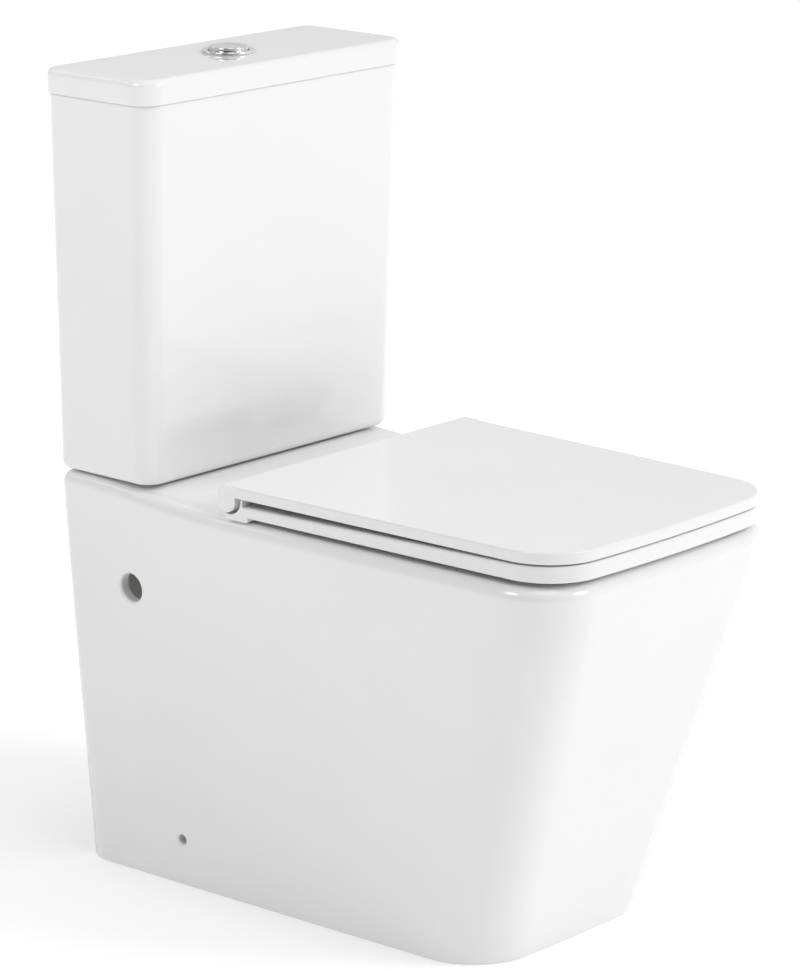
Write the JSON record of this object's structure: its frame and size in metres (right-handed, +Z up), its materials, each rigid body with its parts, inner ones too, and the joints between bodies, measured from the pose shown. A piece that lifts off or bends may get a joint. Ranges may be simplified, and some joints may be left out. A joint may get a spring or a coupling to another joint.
{
  "type": "close coupled toilet",
  "caption": "Close coupled toilet that stands back to the wall, with a tapering pan, tall cistern, lift-off cistern lid, dual push buttons and a hinged seat and lid.",
  "frame": {"origin": "centre of the footprint's box on the floor, halfway between the wall plane and the front of the seat lid", "axes": "+Z up, -Y the way the toilet faces, +X to the right of someone looking at it from the front; the wall is at +Y"},
  "size_m": [0.388, 0.658, 0.8467],
  "materials": {
    "glaze": "high gloss white glaze",
    "seat_plastic": "gloss white",
    "white_plastic": "moulded satin white",
    "blue_plastic": "moulded satin blue",
    "chrome": "bright plating",
    "steel": "drawn stainless steel",
    "brass": "as turned",
    "soft_grey": "soft pale grey",
    "black_rubber": "matt black"
  },
  "bodies": {
    "toilet": {"pan": "glaze", "pan_skirt_left": "glaze", "pan_skirt_right": "glaze", "pan_skirt_front": "glaze", "pan_back_bridge": "glaze", "pan_bowl": "glaze", "pan_sump": "glaze", "pan_trapway": "glaze", "pan_flush_way": "glaze", "cistern": "glaze", "hinge_posts": "chrome", "hinge_pins": "steel", "hinge_bolts": "steel", "hinge_bushes": "black_rubber", "hinge_nuts": "white_plastic", "cistern_bolts": "steel", "cistern_bolt_washers": "black_rubber", "cistern_pads": "black_rubber", "cistern_bolt_plates": "steel", "cistern_wing_nuts": "brass", "doughnut_seal": "black_rubber", "flush_valve_backnut": "white_plastic", "flush_valve_washer": "black_rubber", "flush_valve": "white_plastic", "fill_valve": "white_plastic", "fill_valve_washer": "black_rubber", "fill_valve_nut": "white_plastic", "fill_valve_head": "blue_plastic"},
    "ring": {"seat_ring": "seat_plastic", "seat_ring_buffers": "soft_grey"},
    "lid": {"seat_lid": "seat_plastic", "seat_lid_buffers": "soft_grey"},
    "cistern_cover": {"cistern_lid": "glaze", "button_bezel": "chrome", "button_bezel_nut": "white_plastic"},
    "full_button": {"button_full_flush": "chrome", "push_rod_full": "white_plastic"},
    "half_button": {"button_half_flush": "chrome", "push_rod_half": "white_plastic"},
    "valve_stem": {"flush_valve_stem": "blue_plastic", "flush_valve_seal": "black_rubber"},
    "float": {"fill_valve_float": "white_plastic"}
  },
  "joints": [
    {"name": "ring_hinge", "type": "hinge", "parent": "toilet", "child": "ring", "pos_m": [0, 0.09, 0.434], "axis": [-1, 0, 0], "range_deg": [0, 92]},
    {"name": "lid_hinge", "type": "hinge", "parent": "ring", "child": "lid", "pos_m": [0, 0.09, 0.434], "axis": [1, 0, 0], "range_deg": [-98, 0]},
    {"name": "cistern_lid_lift_off", "type": "slide", "parent": "toilet", "child": "cistern_cover", "axis": [0, 0, 1], "range_m": [0, 0.06]},
    {"name": "full_flush_press", "type": "slide", "parent": "cistern_cover", "child": "full_button", "axis": [0, 0, 1], "range_m": [-0.006, 0], "stiffness_N_per_m": 400, "springref_m": 0.006},
    {"name": "half_flush_press", "type": "slide", "parent": "cistern_cover", "child": "half_button", "axis": [0, 0, 1], "range_m": [-0.006, 0], "stiffness_N_per_m": 300, "springref_m": 0.006},
    {"name": "flush_valve_lift", "type": "slide", "parent": "toilet", "child": "valve_stem", "axis": [0, 0, 1], "range_m": [0, 0.012]},
    {"name": "float_travel", "type": "slide", "parent": "toilet", "child": "float", "axis": [0, 0, 1], "range_m": [0, 0.065]}
  ],
  "couplings": [
    {"joint": "flush_valve_lift", "follows": "full_flush_press", "ratio": -2}
  ]
}
